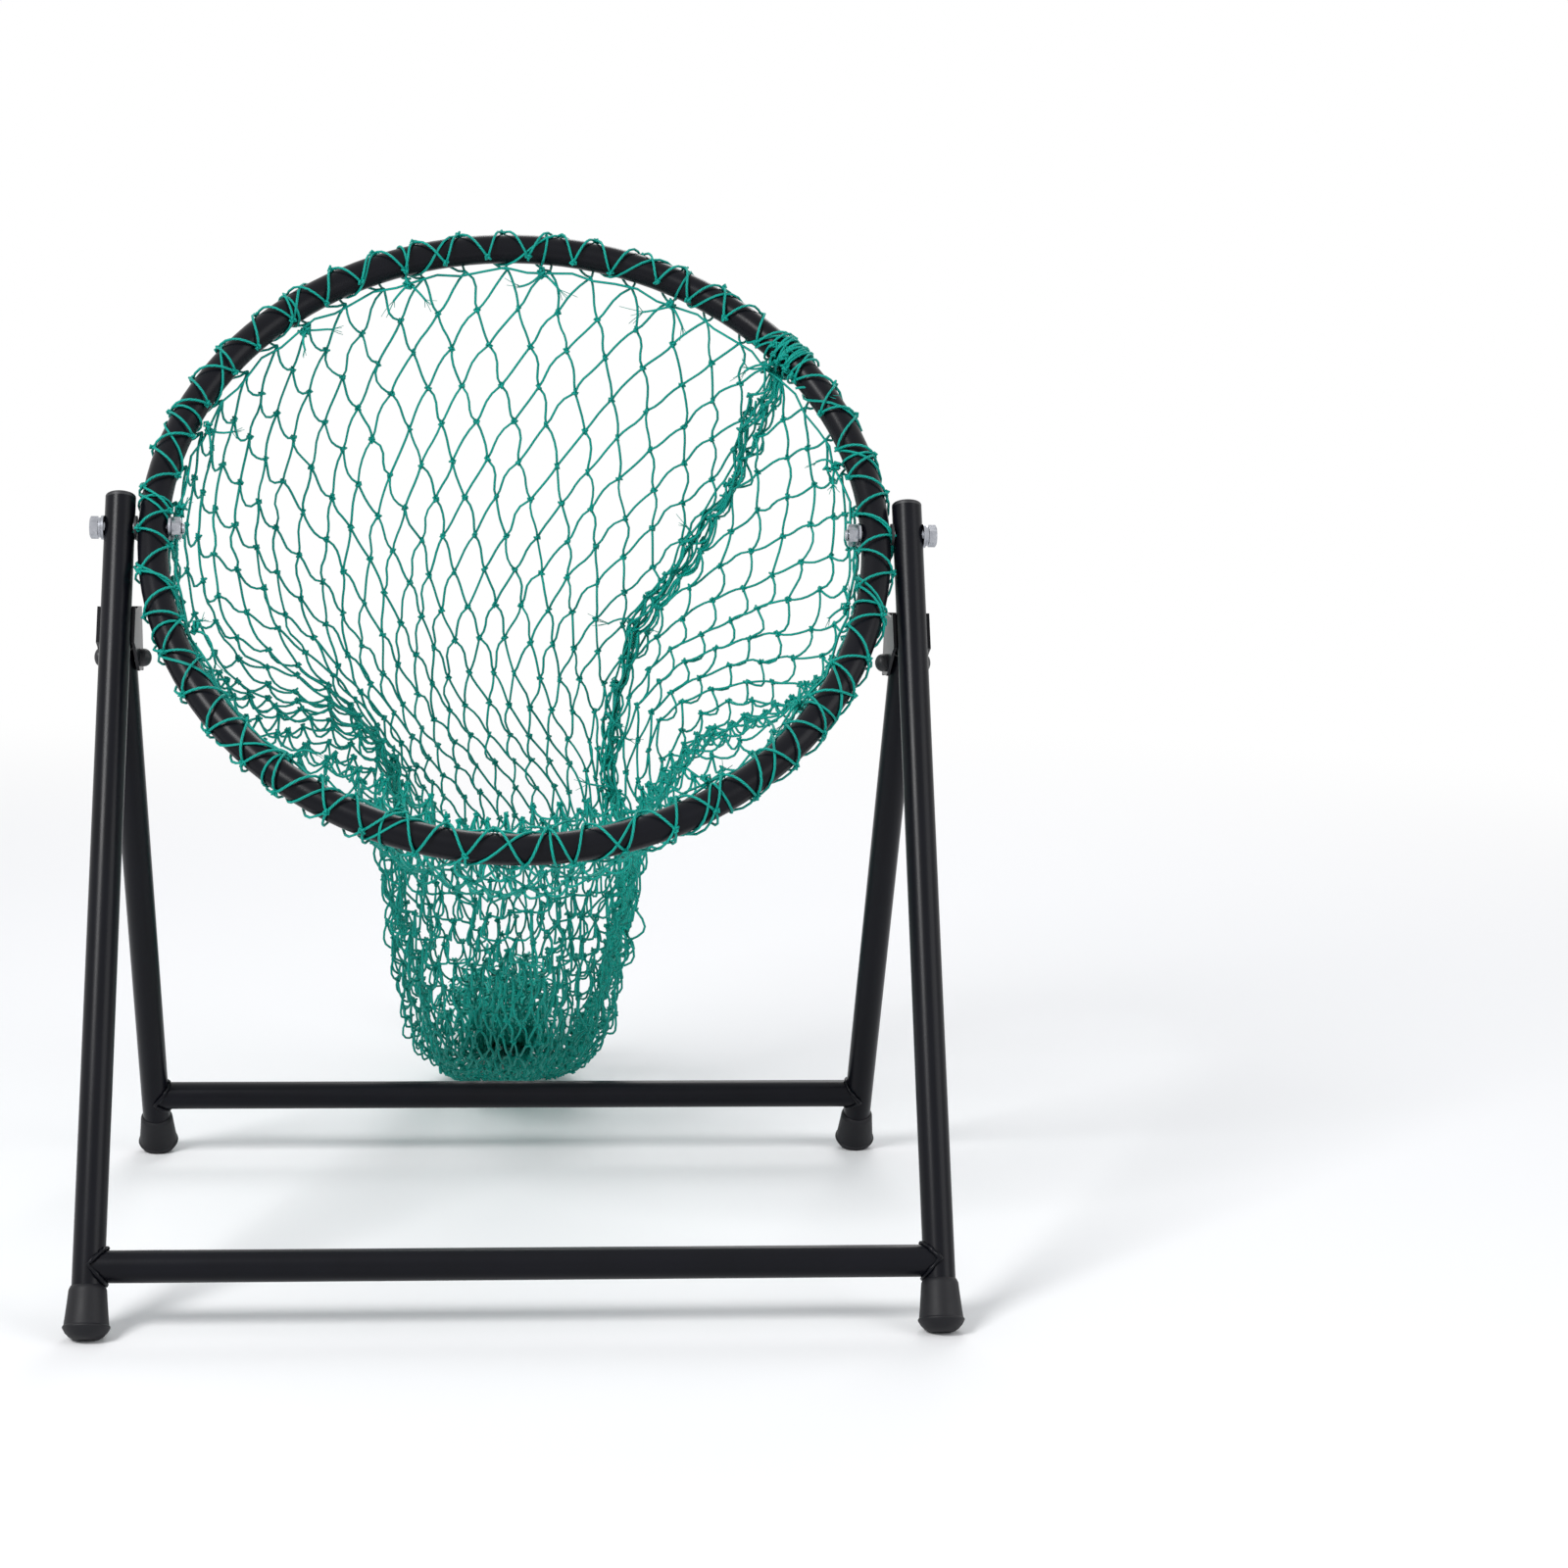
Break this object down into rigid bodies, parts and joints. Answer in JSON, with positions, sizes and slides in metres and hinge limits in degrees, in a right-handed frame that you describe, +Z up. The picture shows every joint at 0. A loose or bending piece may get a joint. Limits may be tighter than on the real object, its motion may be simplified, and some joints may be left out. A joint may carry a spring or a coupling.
{
  "type": "golf chipping net",
  "caption": "Folding golf chipping net: hinged steel tube trestle, tilting hoop bolted between its front legs, and a knotted net bag that runs from the hoop to the ground.",
  "frame": {"origin": "on the ground, under the middle of the whole object's box", "axes": "+Z up, +Y backward from the mouth along the net's tail, +X to the right as seen from the front"},
  "size_m": [0.562, 0.882, 0.6784],
  "materials": {
    "black_frame": "satin black powder coat",
    "black_plastic": "moulded matte black",
    "black_rubber": "moulded matte rubber",
    "zinc_steel": "bright zinc plate",
    "green_netting": "twisted polyethylene twine, slight sheen"
  },
  "bodies": {
    "front_frame": {"front_leg_left": "black_frame", "front_leg_right": "black_frame", "front_crossbar": "black_frame", "top_plug_left": "black_plastic", "top_plug_right": "black_plastic", "front_foot_left": "black_rubber", "front_foot_right": "black_rubber", "hinge_bracket_left": "black_frame", "hinge_bracket_right": "black_frame", "hinge_pin_left": "zinc_steel", "hinge_pin_right": "zinc_steel", "hinge_cap_inner_left": "black_plastic", "hinge_cap_outer_left": "black_plastic", "hinge_cap_inner_right": "black_plastic", "hinge_cap_outer_right": "black_plastic", "pivot_bolt_left": "zinc_steel", "pivot_bolt_right": "zinc_steel", "pivot_nut_left": "zinc_steel", "pivot_nut_right": "zinc_steel", "head_washer_left": "zinc_steel", "head_washer_right": "zinc_steel", "spring_washer_left": "zinc_steel", "spring_washer_right": "zinc_steel", "spacer_washer_left": "black_plastic", "spacer_washer_right": "black_plastic", "nut_washer_left": "zinc_steel", "nut_washer_right": "zinc_steel", "net_bag": "green_netting", "tail_tie": "green_netting", "net_tuft": "green_netting"},
    "rear_frame": {"rear_leg_left": "black_frame", "rear_leg_right": "black_frame", "rear_crossbar": "black_frame", "rear_foot_left": "black_rubber", "rear_foot_right": "black_rubber"},
    "hoop_ring": {"hoop": "black_frame", "hoop_lacing": "green_netting"}
  },
  "joints": [
    {"name": "rear_leg_fold", "type": "hinge", "parent": "front_frame", "child": "rear_frame", "pos_m": [0, -0.194, 0.39193], "axis": [-1, 0, 0], "range_deg": [0, 53]},
    {"name": "hoop_tilt", "type": "hinge", "parent": "front_frame", "child": "hoop_ring", "pos_m": [0, -0.19597, 0.478], "axis": [1, 0, 0], "range_deg": [-50, 36], "deforming": ["net_bag"]}
  ]
}
